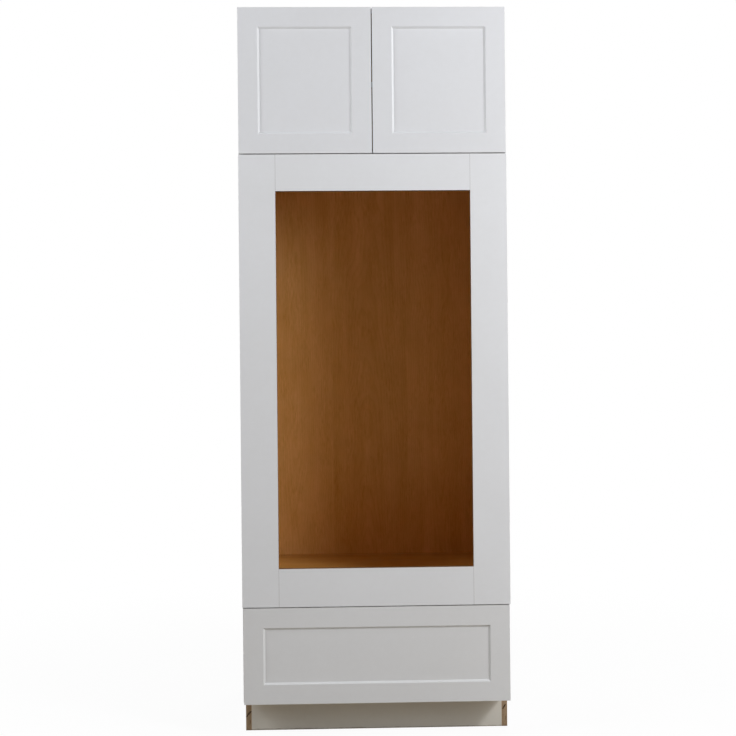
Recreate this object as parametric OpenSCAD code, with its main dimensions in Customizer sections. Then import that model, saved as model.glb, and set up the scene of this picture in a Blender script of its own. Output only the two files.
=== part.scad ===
// Double oven cabinet: a tall plywood box with two hinged doors above an open oven space and one
// wide drawer below it. X runs to the right, the fronts face -Y, Z runs up from the floor.

/* [Cabinet] */
// Width of the box
cab_w = 838.2; // [800:0.1:880]
// Height from the floor to the top
cab_h = 2286; // [2240:1:2340]
// Depth of the box without its fronts
box_d = 601; // [590:1:620]
// Thickness of the plywood panels
panel_t = 18; // [16:0.5:19]
// Thickness of the back panel
back_t = 6; // [4:0.5:8]
// Height of the nailers behind the back panel
nailer_h = 89; // [70:1:110]
// Depth of the grooves that hold the panels' ends
dado = 6; // [4:0.5:8]

/* [Toe kick] */
// Height of the toe space
toe_h = 112; // [100:1:120]
// Depth of the toe space behind the box's front edge
toe_d = 76; // [60:1:90]

/* [Fronts] */
// Thickness of the doors, the drawer front and the oven frame
front_t = 19; // [18:0.5:20]
// Gap between neighbouring fronts
front_gap = 3; // [2.5:0.1:4]
// Gap between the closed doors and the box, held by the bumpers
stand_off = 2; // [1.8:0.1:2.4]
// Height of the drawer front
drawer_front_h = 299; // [290:1:310]
// Height of the doors
door_h = 456; // [430:1:480]
// Distance of the doors' outer edges from the box's sides
door_reveal = 1.5; // [1:0.1:2]
// Distance of the drawer front's ends from the box's sides
drawer_reveal = 3; // [2:0.1:4]
// Width of the flat border round the recess of a door or of the drawer front
border_w = 61; // [50:1:75]
// Depth of that recess
recess_d = 5.5; // [3:0.1:6]
// Width of the sloped edge of that recess
bevel_w = 6; // [3:0.5:9]

/* [Oven frame] */
// Width of the two stiles
stile_w = 114.3; // [100:0.1:130]
// Height of the top rail
top_rail_h = 114.3; // [100:0.1:130]
// Height of the bottom rail
bottom_rail_h = 119; // [110:0.5:140]
// Height of the bottom rail's upper edge above the oven deck
deck_lip = 53; // [45:1:60]

/* [Drawer] */
// Height of the drawer box
box_h = 210; // [180:1:220]
// Free depth behind the drawer box
rear_gap = 46; // [40:1:70]
// Thickness of the drawer box's boards
board_t = 16; // [15:0.5:16]
// Thickness of the drawer's bottom
bottom_t = 9; // [6:0.5:12]
// Number of dovetails at each corner of the drawer box
tails = 6; // [4:1:8]

/* [Hidden] */
$fn = 48;

// Clearance between glued or seated pieces
seat = 0.2;
// Overlap of a cutting shape past the face that it cuts
cut = 1;

// Planes of the cabinet in Y
depth = box_d + stand_off + front_t;
y_front = -depth / 2;
y_box = y_front + front_t + stand_off;
y_rear = depth / 2;
back_inset = panel_t;
y_back = y_rear - back_inset - back_t;
inner_d = y_back - y_box;
inner_x = cab_w / 2 - panel_t;

// Levels of the fronts, which share each gap with the panel behind it
drawer_z = toe_h - 2;
frame_z = drawer_z + drawer_front_h + front_gap;
door_z = cab_h - front_gap - door_h;
frame_top = door_z - front_gap;
overlap = panel_t / 2 - front_gap / 2;
shelf_z = door_z + overlap - panel_t;
stretcher_z = frame_z - front_gap - overlap;
open_z1 = frame_top - top_rail_h;
open_x = cab_w / 2 - stile_w;
deck_z = frame_z + bottom_rail_h - deck_lip;

// Tongues of the panels, their lower part, and the boards under the deck
tongue_t = 12;
stretcher_h = deck_z - panel_t - stretcher_z;
cleat_h = 40;
cleat_screw_inset = 80;
cleat_screw_pitch = (inner_d - 2 * cleat_screw_inset) / 3;
cleat_screw_ys = [for (i = [0:3]) y_box + cleat_screw_inset + i * cleat_screw_pitch];
cleat_screw_z = deck_z - panel_t - cleat_h / 2;
cleat_screw_r = 2;
cleat_screw_stop = 4;
head_r = 4;
head_t = 1.6;
tip_gap = 0.5;

// Adjustable shelf, at half the height of the upper space
pin_r = 2.5;
pin_depth = 11;
pin_out = 8;
pin_pitch = 32;
pin_rows = 2;
adj_z = (shelf_z + cab_h) / 2 - panel_t / 2;
adj_front = 24;
adj_back = 6;
pin_inset = 60;
pin_ys = [y_box + pin_inset, y_back - pin_inset];

// Tenons of the frame's rails
tenon_l = 12;
tenon_t = 6.5;
tenon_shoulder = 14;

// Dowels between the oven frame and the box
dowel_r = 4;
dowel_in_frame = 11;
dowel_in_box = 22;
dowel_drop = 20;
dowel_pitch = (frame_top - frame_z) / 6;
dowel_zs = [for (i = [0:5]) frame_z + (i + 0.5) * dowel_pitch];
dowel_xs = [for (i = [0:3]) (i - 1.5) * open_x / 2];
dowel_x_side = cab_w / 2 - panel_t / 2;
dowel_z_deck = deck_z - panel_t - dowel_drop;
dowel_z_shelf = shelf_z - dowel_drop;

// Doors
door_w = cab_w / 2 - door_reveal - front_gap / 2;
bumper_r = 3.2;
bumper_t = stand_off - 0.3;
bumper_inset = 12;

// Cup hinges. Places in their plane are [x, y]: x from the side panel's outer face inwards,
// y from the box's front edge backwards
hinge_inset = 100;
hinge_zs = [door_z + hinge_inset, door_z + door_h - hinge_inset];
pin_a = [panel_t + 14, 4];
pin_b = [panel_t + 23, 17];
pin_c = [door_reveal + 8.5, -stand_off - 8.5];
pin_d = [door_reveal + 8.5, -stand_off - 3.3];
outer_bend = [door_reveal + 18.5, -stand_off - 11];
inner_bend = [door_reveal + 16.5, -stand_off - 7];
link_pin_r = 1.1;
running = 0.05;
eye_r = 2.4;
link_t = 1.2;
layer_gap = 0.3;
nose_t = 4;
outer_z = nose_t / 2 + layer_gap;
inner_z = outer_z + link_t + layer_gap;
pocket_z = inner_z + link_t + layer_gap;

// Slot at the inner link's far end: that pivot is open, and its pin wanders along the slot
slot_r = 1.7;
slot_half = 1.6;
slot_angle = 35;

cup_r = 17.5;
cup_s = 21;
cup_depth = 13;
cup_wall = 0.8;
cup_x = door_reveal + cup_s;
cup_screw_s = 9.5;
cup_screw_z = 22.5;
cup_screw_r = 1.7;
cup_screw_l = 9;
cup_head_r = 2.8;
cup_head_t = 0.6;
flange_t = 1.2;
cup_pin_end = 9;
flange_x = [cup_x - 2, cup_x + 18.5];
flange_z = 29;

plate_screw_y = 37;
plate_screw_z = 16;
plate_screw_r = 2.5;
plate_screw_l = 12.5;
plate_t = 2.5;
arm_x = panel_t + 4;
arm_top = panel_t + 24;
arm_y = [27, 72];
arm_half = 8;
sheet = 1.5;

// Drawer box: it hangs on runners whose floor lies above the bottom panel
side_gap = 5;
box_w = 2 * inner_x - 2 * side_gap;
y_drawer = y_box - stand_off;
box_l = y_back - rear_gap - y_drawer;
runner_lift = 17;
runner_stack_h = 20;
bottom_inset = 13;
runner_z = toe_h + panel_t + runner_lift;
bottom_z = runner_z + runner_stack_h;
box_z = bottom_z - bottom_inset;
groove_d = 7;
tail_l = 10;
tail_margin = 5;
tail_pitch = (box_h - 2 * tail_margin) / tails;
tail_flare = 2;
front_screw_x = box_w / 3;
front_screw_inset = 50;
front_screw_zs = [box_z + front_screw_inset, box_z + box_h - front_screw_inset];
front_screw_r = 2.2;
front_screw_l = 10;
corner_bumper = 30;

// Runners: places across are measured from the side panel's inner face towards the middle
runner_play = 1;
runner_y = y_drawer + board_t + runner_play;
runner_l = box_l - board_t - 7 * runner_play;
flange_h = 36;
floor_w = 60;
rail_a = 34;
rail_w = 10;
middle_w = 17;
upper_w = 24;
rail_top = runner_z + 11;
middle_top = rail_top + 4;
roller_play = 0.25;
lower_roller_r = (middle_top - sheet - rail_top) / 2 - roller_play;
upper_roller_r = (bottom_z - sheet - middle_top) / 2 - roller_play;
roller_pitch = 40;
rollers = 4;
runner_screw_ys = [25, 185, 345];
runner_screw_z = 25;
runner_screw_r = 2.1;
runner_screw_l = 12;
hook_z = bottom_z + bottom_t + 7;
hook_r = 3;
hook_l = 9;
notch_a = [board_t + side_gap, floor_w];
damper_a = 52;
damper_r = 4;
damper_l = 90;
damper_foot = 12;
clip_w = 36;
clip_l = 44;
clip_h = 10;
clip_wall = 6;
lever_w = 14;
lever_l = 60;
lever_t = 3;

wood = "peru";
beech = "burlywood";
paint = "whitesmoke";
steel = "silver";

// Carcass

module on_both_sides() {
    children();
    mirror([1, 0, 0]) children();
}

// Groove of a side panel for a panel's tongue
module tongue_groove(z) {
    translate([inner_x - cut, y_box - cut, z - seat / 2])
        cube([dado + cut, inner_d + cut, tongue_t + seat]);
}

module dowel_bore(x, z) {
    translate([x, y_box - cut, z]) rotate([-90, 0, 0]) cylinder(r = dowel_r, h = dowel_in_box + cut);
}

// Blind hole in the right-hand side panel's inner face
module side_hole(y, z, r, l) {
    translate([inner_x - cut, y, z]) rotate([0, 90, 0]) cylinder(r = r, h = l + cut);
}

module side_panel() {
    color(wood) difference() {
        translate([inner_x, y_box, 0]) cube([panel_t, box_d, cab_h]);
        translate([inner_x - cut, y_box - cut, -cut])
            cube([panel_t + 2 * cut, toe_d + cut, toe_h + cut]);
        for (z = [toe_h, deck_z - panel_t, shelf_z, cab_h - panel_t]) tongue_groove(z);
        translate([inner_x - cut, y_back - seat / 2, toe_h])
            cube([dado + cut, back_t + seat, cab_h]);
        for (z = dowel_zs) dowel_bore(dowel_x_side, z);
        for (y = pin_ys, i = [-pin_rows:pin_rows])
            side_hole(y, adj_z - pin_r + i * pin_pitch, pin_r, pin_depth);
        for (y = cleat_screw_ys) side_hole(y, cleat_screw_z, cleat_screw_r, panel_t - cleat_screw_stop);
        for (y = runner_screw_ys)
            side_hole(runner_y + y, runner_z + runner_screw_z, runner_screw_r, runner_screw_l);
        for (z = hinge_zs, s = [-1, 1])
            side_hole(y_box + plate_screw_y, z + s * plate_screw_z, plate_screw_r, plate_screw_l);
    }
}

module side_left() {
    mirror([1, 0, 0]) side_panel();
}

module side_right() {
    side_panel();
}

// Panel between the sides, with a tongue along each end
module held_panel(z) {
    color(wood) union() {
        translate([-inner_x, y_box, z]) cube([2 * inner_x, inner_d, panel_t]);
        translate([-inner_x - dado + seat, y_box, z])
            cube([2 * (inner_x + dado - seat), inner_d, tongue_t]);
    }
}

module top_panel() {
    held_panel(cab_h - panel_t);
}

module fixed_shelf() {
    held_panel(shelf_z);
}

module oven_deck() {
    held_panel(deck_z - panel_t);
}

module bottom_panel() {
    held_panel(toe_h);
}

module back_panel() {
    color(wood) translate([-inner_x - dado + seat, y_back, toe_h])
        cube([2 * (inner_x + dado - seat), back_t, cab_h - toe_h]);
}

// Board behind the back panel that takes the wall screws
module nailer(z) {
    color(wood) translate([-inner_x, y_rear - back_inset, z])
        cube([2 * inner_x, back_inset, nailer_h]);
}

module nailer_top() {
    nailer(cab_h - nailer_h);
}

module nailer_shelf() {
    nailer(shelf_z + panel_t / 2 - nailer_h / 2);
}

module nailer_deck() {
    nailer(deck_z - panel_t / 2 - nailer_h / 2);
}

module nailer_bottom() {
    nailer(toe_h);
}

module toe_board() {
    color("lightgray") translate([-inner_x, y_box + toe_d, 0])
        cube([2 * inner_x, panel_t, toe_h]);
}

module toe_rear_rail() {
    color(wood) translate([-inner_x, y_rear - back_inset - panel_t, 0])
        cube([2 * inner_x, panel_t, toe_h]);
}

// Board on edge under the front of the deck or of the fixed shelf
module front_stretcher(top_z, dowel_z) {
    color(wood) difference() {
        translate([-inner_x, y_box, top_z - stretcher_h])
            cube([2 * inner_x, panel_t, stretcher_h]);
        for (x = dowel_xs)
            translate([x, y_box - cut, dowel_z]) rotate([-90, 0, 0])
                cylinder(r = dowel_r, h = panel_t + 2 * cut);
    }
}

module deck_stretcher() {
    front_stretcher(deck_z - panel_t, dowel_z_deck);
}

module shelf_stretcher() {
    front_stretcher(shelf_z, dowel_z_shelf);
}

// Screw whose head rests on the plane X = 0 and whose shank runs towards +X
module screw(r, l) {
    rotate([0, 90, 0]) headed_screw(r, l, head_r, head_t);
}

// Pan head below Z = 0 with a cross recess, and a pointed shank above it
module headed_screw(r, l, hr, ht) {
    difference() {
        rotate_extrude() polygon([
            [0, -ht], [hr - ht / 2, -ht], [hr, -ht / 2], [hr, 0], [r, 0], [r, l - 2 * r], [0, l]
        ]);
        for (turn = [0, 90]) rotate([0, 0, turn])
            translate([-hr / 2, -hr / 8, -ht - cut]) cube([hr, hr / 4, ht / 2 + cut]);
    }
}

module deck_cleats() {
    color(wood) on_both_sides() difference() {
        translate([inner_x - panel_t, y_box + panel_t, deck_z - panel_t - cleat_h])
            cube([panel_t, inner_d - panel_t, cleat_h]);
        for (y = cleat_screw_ys)
            translate([inner_x - panel_t - cut, y, cleat_screw_z]) rotate([0, 90, 0])
                cylinder(r = cleat_screw_r, h = panel_t + 2 * cut);
    }
}

module cleat_screws() {
    color(steel) on_both_sides() for (y = cleat_screw_ys)
        translate([inner_x - panel_t, y, cleat_screw_z])
            screw(cleat_screw_r - running, 2 * panel_t - cleat_screw_stop - tip_gap);
}

module adjustable_shelf() {
    color(wood) translate([-inner_x + 1, y_box + adj_front, adj_z])
        cube([2 * inner_x - 2, inner_d - adj_front - adj_back, panel_t]);
}

module shelf_pins() {
    color(steel) on_both_sides() for (y = pin_ys)
        translate([inner_x - pin_out, y, adj_z - pin_r]) rotate([0, 90, 0])
            cylinder(r = pin_r - running, h = pin_out + pin_depth - seat);
}

// Oven frame

module frame_bore(x, z) {
    translate([x, y_box - dowel_in_frame, z]) rotate([-90, 0, 0])
        cylinder(r = dowel_r, h = dowel_in_frame + cut);
}

// Tenon at the right-hand end of a rail, grown by play when it cuts the mortise
module rail_tenon(z, h, play) {
    translate([open_x - cut, y_box - (front_t + tenon_t) / 2 - play / 2, z + tenon_shoulder])
        cube([tenon_l + cut + play, tenon_t + play, h - 2 * tenon_shoulder]);
}

module frame_stile() {
    color(paint) difference() {
        translate([open_x, y_box - front_t, frame_z])
            cube([stile_w, front_t, frame_top - frame_z]);
        rail_tenon(frame_z, bottom_rail_h, seat);
        rail_tenon(open_z1, top_rail_h, seat);
        for (z = dowel_zs) frame_bore(dowel_x_side, z);
    }
}

module frame_stile_left() {
    mirror([1, 0, 0]) frame_stile();
}

module frame_stile_right() {
    frame_stile();
}

module frame_rail(z, h, dowel_z) {
    color(paint) difference() {
        union() {
            translate([-open_x, y_box - front_t, z]) cube([2 * open_x, front_t, h]);
            on_both_sides() rail_tenon(z, h, 0);
        }
        for (x = dowel_xs) frame_bore(x, dowel_z);
    }
}

module frame_rail_top() {
    frame_rail(open_z1, top_rail_h, dowel_z_shelf);
}

module frame_rail_bottom() {
    frame_rail(frame_z, bottom_rail_h, dowel_z_deck);
}

module frame_dowel(x, z, h) {
    translate([x, y_box - dowel_in_frame + seat, z]) rotate([-90, 0, 0])
        cylinder(r = dowel_r - running, h = dowel_in_frame + h - 2 * seat);
}

module frame_dowels() {
    color("burlywood") union() {
        on_both_sides() for (z = dowel_zs) frame_dowel(dowel_x_side, z, dowel_in_box);
        for (x = dowel_xs, z = [dowel_z_deck, dowel_z_shelf]) frame_dowel(x, z, panel_t);
    }
}

// Fronts with a routed recess: they lie in the XZ plane, with their face at Y = 0

// Trough along Z, wide at the face and narrower by the bevel at its floor
module trough(w, l) {
    spread = cut * bevel_w / recess_d;
    linear_extrude(height = l, center = true) polygon([
        [-w / 2 - spread, -cut],
        [w / 2 + spread, -cut],
        [w / 2 - bevel_w, recess_d],
        [-w / 2 + bevel_w, recess_d]
    ]);
}

// Recess whose sloped edges meet in mitres: what two crossing troughs have in common
module recess(w, h) {
    intersection() {
        trough(w - 2 * border_w, h);
        rotate([0, 90, 0]) trough(h - 2 * border_w, w);
    }
}

module routed_front(w, h) {
    difference() {
        translate([-w / 2, 0, -h / 2]) cube([w, front_t, h]);
        recess(w, h);
    }
}

// Hinge planes of the left-hand door
module at_hinges() {
    for (z = hinge_zs) translate([-cab_w / 2, y_box, z]) children();
}

// Bores in the door's back for the cups and their screws
module cup_bores() {
    at_hinges() {
        translate([cup_x, -stand_off + cut, 0]) rotate([90, 0, 0])
            cylinder(r = cup_r, h = cup_depth + seat + cut);
        for (s = [-1, 1])
            translate([cup_x + cup_screw_s, -stand_off + cut, s * cup_screw_z]) rotate([90, 0, 0])
                cylinder(r = cup_screw_r, h = cup_screw_l + cut);
    }
}

module door_left() {
    color(paint) difference() {
        translate([-cab_w / 2 + door_reveal + door_w / 2, y_front, door_z + door_h / 2])
            routed_front(door_w, door_h);
        cup_bores();
    }
}

module door_right() {
    mirror([1, 0, 0]) door_left();
}

module bumper(x, z) {
    translate([x, y_front + front_t, z]) rotate([-90, 0, 0]) cylinder(r = bumper_r, h = bumper_t);
}

module door_bumpers_right() {
    color("lightblue") for (z = [door_z + overlap / 2 + 0.3, cab_h - front_gap - bumper_inset / 2])
        bumper(bumper_inset, z);
}

module door_bumpers_left() {
    mirror([1, 0, 0]) door_bumpers_right();
}

// Cup hinges

module segment(p, q, half) {
    d = q - p;
    translate(p) rotate(atan2(d[1], d[0])) translate([0, -half]) square([norm(d), 2 * half]);
}

// Bent strap through points, a little rounder at each of them
module strap(points, half) {
    for (p = points) translate(p) circle(r = half + 0.1);
    for (i = [0:len(points) - 2]) segment(points[i], points[i + 1], half);
}

// Pair of plates, one on each side of the hinge plane
module plate_pair(z, t) {
    for (s = [0, 1]) mirror([0, 0, s]) translate([0, 0, z]) linear_extrude(height = t) children();
}

module hinge_outer_links_left() {
    color(steel) at_hinges() plate_pair(outer_z, link_t) difference() {
        union() {
            strap([pin_a, outer_bend, pin_c], 1.2);
            for (p = [pin_a, pin_c]) translate(p) circle(r = eye_r);
        }
        for (p = [pin_a, pin_c]) translate(p) circle(r = link_pin_r + running);
    }
}

module hinge_outer_links_right() {
    mirror([1, 0, 0]) hinge_outer_links_left();
}

module slot_shape(r) {
    along = slot_half * [cos(slot_angle), sin(slot_angle)];
    segment(-along, along, r - 0.02);
    for (s = [-1, 1]) translate(s * along) circle(r = r);
}

module hinge_inner_links_left() {
    color(steel) at_hinges() plate_pair(inner_z, link_t) difference() {
        union() {
            strap([pin_b, inner_bend, pin_d], 1.4);
            translate(pin_d) circle(r = eye_r);
            translate(pin_b) slot_shape(slot_r + 1.4);
        }
        translate(pin_d) circle(r = link_pin_r + running);
        translate(pin_b) slot_shape(slot_r);
    }
}

module hinge_inner_links_right() {
    mirror([1, 0, 0]) hinge_inner_links_left();
}

module link_pin(p, half) {
    translate([p[0], p[1], -half]) cylinder(r = link_pin_r, h = 2 * half);
}

// Pins of the arms, which carry both links
module hinge_pins() {
    color(steel) on_both_sides() at_hinges() {
        link_pin(pin_a, outer_z + link_t + 0.1);
        link_pin(pin_b, inner_z + link_t + 0.1);
    }
}

// Arm: a channel over the mounting plate, with a flat nose that holds the pins
module hinge_arm() {
    difference() {
        translate([arm_x, arm_y[0], -arm_half])
            cube([arm_top - arm_x, arm_y[1] - arm_y[0], 2 * arm_half]);
        translate([arm_x - cut, arm_y[0] - cut, -arm_half + sheet])
            cube([arm_top - arm_x - sheet + cut, arm_y[1] - arm_y[0] + 2 * cut, 2 * (arm_half - sheet)]);
    }
    translate([0, 0, -nose_t / 2]) linear_extrude(height = nose_t) difference() {
        strap([pin_a, pin_b, [arm_top - 3.2, arm_y[0] + 12]], 3);
        for (p = [pin_a, pin_b]) translate(p) circle(r = link_pin_r + running);
    }
}

module hinge_arms() {
    color(steel) on_both_sides() at_hinges() hinge_arm();
}

module hinge_plate() {
    difference() {
        union() {
            translate([panel_t, plate_screw_y - 6, -plate_screw_z - 7])
                cube([plate_t, 12, 2 * (plate_screw_z + 7)]);
            translate([panel_t, arm_y[0] + 1, -arm_half + sheet + seat])
                cube([plate_t, arm_y[1] - arm_y[0] - 2, 2 * (arm_half - sheet - seat)]);
            translate([panel_t, arm_y[0] + 18, -arm_half + sheet + seat])
                cube([arm_top - panel_t - sheet - seat, 24, 2 * (arm_half - sheet - seat)]);
        }
        for (s = [-1, 1]) translate([panel_t - cut, plate_screw_y, s * plate_screw_z])
            rotate([0, 90, 0]) cylinder(r = plate_screw_r, h = plate_t + 2 * cut);
    }
}

module hinge_plates() {
    color(steel) on_both_sides() at_hinges() hinge_plate();
}

module hinge_screws() {
    color(steel) on_both_sides() at_hinges() for (s = [-1, 1])
        translate([panel_t + plate_t, plate_screw_y, s * plate_screw_z]) mirror([1, 0, 0])
            screw(plate_screw_r - running, plate_t + plate_screw_l - tip_gap);
}

// Cup with its pocket for the links, and the flange that is screwed to the door's back
module hinge_cup() {
    difference() {
        union() {
            translate([cup_x, -stand_off, 0]) rotate([90, 0, 0]) cylinder(r = cup_r - seat, h = cup_depth);
            translate([flange_x[0], -stand_off, -flange_z])
                cube([flange_x[1] - flange_x[0], flange_t, 2 * flange_z]);
        }
        intersection() {
            translate([cup_x, -stand_off + flange_t + cut, 0]) rotate([90, 0, 0])
                cylinder(r = cup_r - cup_wall, h = cup_depth - 0.5 + flange_t + cut);
            translate([cup_x - cup_r, -stand_off - cup_depth, -pocket_z])
                cube([2 * cup_r, cup_depth + flange_t + cut, 2 * pocket_z]);
        }
        for (p = [pin_c, pin_d]) link_pin_hole(p);
        for (s = [-1, 1])
            translate([cup_x + cup_screw_s, -stand_off + flange_t + cut, s * cup_screw_z])
                rotate([90, 0, 0]) cylinder(r = cup_screw_r, h = flange_t + 2 * cut);
    }
}

module link_pin_hole(p) {
    translate([p[0], p[1], -cup_pin_end - seat])
        cylinder(r = link_pin_r + running, h = 2 * (cup_pin_end + seat));
}

module hinge_cups_left() {
    color(steel) at_hinges() hinge_cup();
}

module hinge_cups_right() {
    mirror([1, 0, 0]) hinge_cups_left();
}

// Pins held in the cup's walls: a pair for the outer links and a pair for the inner ones
module cup_pins_left() {
    color(steel) at_hinges() for (s = [0, 1]) mirror([0, 0, s]) {
        translate([pin_c[0], pin_c[1], outer_z]) cylinder(r = link_pin_r, h = cup_pin_end - outer_z);
        translate([pin_d[0], pin_d[1], inner_z]) cylinder(r = link_pin_r, h = cup_pin_end - inner_z);
    }
}

module cup_pins_right() {
    mirror([1, 0, 0]) cup_pins_left();
}

module cup_screws_left() {
    color(steel) at_hinges() for (s = [-1, 1])
        translate([cup_x + cup_screw_s, -stand_off + flange_t, s * cup_screw_z]) rotate([90, 0, 0])
            headed_screw(cup_screw_r - running, flange_t + cup_screw_l - tip_gap, cup_head_r, cup_head_t);
}

module cup_screws_right() {
    mirror([1, 0, 0]) cup_screws_left();
}

// Drawer

module drawer_front() {
    color(paint) difference() {
        translate([0, y_front, drawer_z + drawer_front_h / 2])
            routed_front(cab_w - 2 * drawer_reveal, drawer_front_h);
        for (x = [-front_screw_x, front_screw_x], z = front_screw_zs)
            translate([x, y_front + front_t + cut, z]) rotate([90, 0, 0])
                cylinder(r = front_screw_r, h = front_screw_l + cut);
    }
}

// One dovetail seen along the side board's thickness, with its root at y = 0
module tail_outline(play) {
    root = tail_pitch / 4 + play;
    tip = root + tail_flare;
    far = -tail_l - play;
    polygon([[-root, cut], [-root, 0], [-tip, far], [tip, far], [root, 0], [root, cut]]);
}

// Tails of the right-hand side board at its front end, grown by play where they cut their sockets
module front_tails(play) {
    for (i = [0:tails - 1])
        translate([box_w / 2 - board_t - play, y_drawer + board_t,
            box_z + tail_margin + (i + 0.5) * tail_pitch])
            rotate([0, 90, 0]) linear_extrude(height = board_t + 2 * play) tail_outline(play);
}

module back_tails(play) {
    translate([0, 2 * y_drawer + box_l, 0]) mirror([0, 1, 0]) front_tails(play);
}

// Groove for the drawer's bottom, cut into all four boards
module bottom_groove() {
    reach = groove_d - board_t;
    translate([-box_w / 2 - reach, y_drawer - reach, bottom_z])
        cube([box_w + 2 * reach, box_l + 2 * reach, bottom_t]);
}

module drawer_side_right() {
    color(beech) difference() {
        union() {
            translate([box_w / 2 - board_t, y_drawer + board_t, box_z])
                cube([board_t, box_l - 2 * board_t, box_h]);
            front_tails(0);
            back_tails(0);
        }
        bottom_groove();
    }
}

module drawer_side_left() {
    mirror([1, 0, 0]) drawer_side_right();
}

module drawer_box_front() {
    color(beech) difference() {
        translate([-box_w / 2, y_drawer, box_z]) cube([box_w, board_t, box_h]);
        on_both_sides() front_tails(seat / 2);
        bottom_groove();
        for (x = [-front_screw_x, front_screw_x], z = front_screw_zs)
            translate([x, y_drawer + board_t + cut, z]) rotate([90, 0, 0])
                cylinder(r = front_screw_r, h = board_t + 2 * cut);
    }
}

// Back board, notched over the runners and bored for their hooks
module drawer_box_back() {
    y_end = y_drawer + box_l;
    color(beech) difference() {
        translate([-box_w / 2, y_end - board_t, box_z]) cube([box_w, board_t, box_h]);
        on_both_sides() {
            back_tails(seat / 2);
            translate([inner_x - notch_a[1], y_end - board_t - cut, box_z - cut])
                cube([notch_a[1] - notch_a[0], board_t + 2 * cut, bottom_z - box_z + cut]);
            translate([inner_x - rail_a, y_end + cut, hook_z]) rotate([90, 0, 0])
                cylinder(r = hook_r, h = hook_l + cut);
        }
        bottom_groove();
    }
}

module drawer_bottom() {
    reach = groove_d - board_t - seat;
    color(beech) translate([-box_w / 2 - reach, y_drawer - reach, bottom_z + seat / 2])
        cube([box_w + 2 * reach, box_l + 2 * reach, bottom_t - seat]);
}

module drawer_front_screws() {
    color(steel) for (x = [-front_screw_x, front_screw_x], z = front_screw_zs)
        translate([x, y_drawer + board_t, z]) rotate([0, 0, -90])
            screw(front_screw_r - running, board_t + front_screw_l - tip_gap);
}

module drawer_bumpers() {
    color("lightblue") on_both_sides()
        for (z = [drawer_z + corner_bumper, drawer_z + drawer_front_h - corner_bumper])
            bumper(dowel_x_side, z);
}

// Runners

// Block of a runner on the right: a across from the side panel, z up, y along
module runner_block(a, z, y) {
    translate([inner_x - a[1], y[0], z[0]]) cube([a[1] - a[0], y[1] - y[0], z[1] - z[0]]);
}

// Rail of folded sheet, open below
module folded_rail(w, z, y) {
    difference() {
        runner_block([rail_a - w / 2, rail_a + w / 2], z, y);
        runner_block([rail_a - w / 2 + sheet, rail_a + w / 2 - sheet], [z[0] - cut, z[1] - sheet],
            [y[0] - cut, y[1] + cut]);
    }
}

module runner_cabinet_right() {
    y = [runner_y, runner_y + runner_l];
    color(steel) difference() {
        union() {
            runner_block([0, floor_w], [runner_z, runner_z + sheet], y);
            runner_block([0, sheet], [runner_z, runner_z + flange_h], y);
            folded_rail(rail_w, [runner_z + sheet - 0.5, rail_top], y);
        }
        for (screw_y = runner_screw_ys)
            translate([inner_x + cut, runner_y + screw_y, runner_z + runner_screw_z])
                rotate([0, -90, 0]) cylinder(r = runner_screw_r, h = sheet + 2 * cut);
    }
}

module runner_cabinet_left() {
    mirror([1, 0, 0]) runner_cabinet_right();
}

module runner_screws() {
    color(steel) on_both_sides() for (y = runner_screw_ys)
        translate([inner_x - sheet, runner_y + y, runner_z + runner_screw_z])
            screw(runner_screw_r - running, sheet + runner_screw_l - tip_gap);
}

// Soft-close dampers that lie on the runners' floor at the back
module runner_dampers() {
    y_end = runner_y + runner_l;
    z = runner_z + sheet;
    color("dimgray") on_both_sides() {
        translate([inner_x - damper_a, y_end - damper_l, z + damper_r + 0.1]) rotate([-90, 0, 0])
            cylinder(r = damper_r, h = damper_l - damper_foot);
        runner_block([damper_a - damper_r - 1, damper_a + damper_r + 1], [z, z + 2 * damper_r],
            [y_end - damper_foot - 2, y_end - 2]);
    }
}

module runner_middle_right() {
    color(steel) folded_rail(middle_w, [runner_z + 4, middle_top], [runner_y, runner_y + runner_l]);
}

module runner_middle_left() {
    mirror([1, 0, 0]) runner_middle_right();
}

module roller(r, l, y, z) {
    translate([inner_x - rail_a - l / 2, y, z]) rotate([0, 90, 0]) cylinder(r = r, h = l);
}

// Rollers that travel with the middle members: the lower ones at the back, the upper at the front
module runner_rollers() {
    color("ivory") on_both_sides() for (i = [1:rollers]) {
        roller(lower_roller_r, rail_w - 2, runner_y + runner_l - i * roller_pitch,
            rail_top + roller_play + lower_roller_r);
        roller(upper_roller_r, middle_w - 2, runner_y + i * roller_pitch,
            middle_top + roller_play + upper_roller_r);
    }
}

module runner_drawer_right() {
    y_end = y_drawer + box_l;
    y = [y_drawer + board_t + seat, y_end + sheet + seat];
    color(steel) union() {
        folded_rail(upper_w, [runner_z + 5.5, bottom_z], y);
        runner_block([rail_a - 5, rail_a + 5], [bottom_z - sheet, hook_z + 5], [y[1] - sheet, y[1]]);
        translate([inner_x - rail_a, y[1] - sheet / 2, hook_z]) rotate([90, 0, 0])
            cylinder(r = hook_r - running, h = hook_l);
    }
}

module runner_drawer_left() {
    mirror([1, 0, 0]) runner_drawer_right();
}

// Clips under the drawer's front corners that lock it to the runners
module locking_clips() {
    a = rail_a + upper_w / 2 + seat;
    y = y_drawer + board_t + seat;
    z = bottom_z - clip_h;
    color("gray") on_both_sides() difference() {
        union() {
            runner_block([a, a + clip_w], [z, bottom_z], [y, y + clip_l]);
            runner_block([a + (clip_w - lever_w) / 2, a + (clip_w + lever_w) / 2], [z, z + lever_t],
                [y, y + lever_l]);
        }
        runner_block([a + clip_wall, a + clip_w - clip_wall], [z + lever_t, bottom_z + cut],
            [y + clip_wall, y + clip_l - clip_wall]);
    }
}

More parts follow.
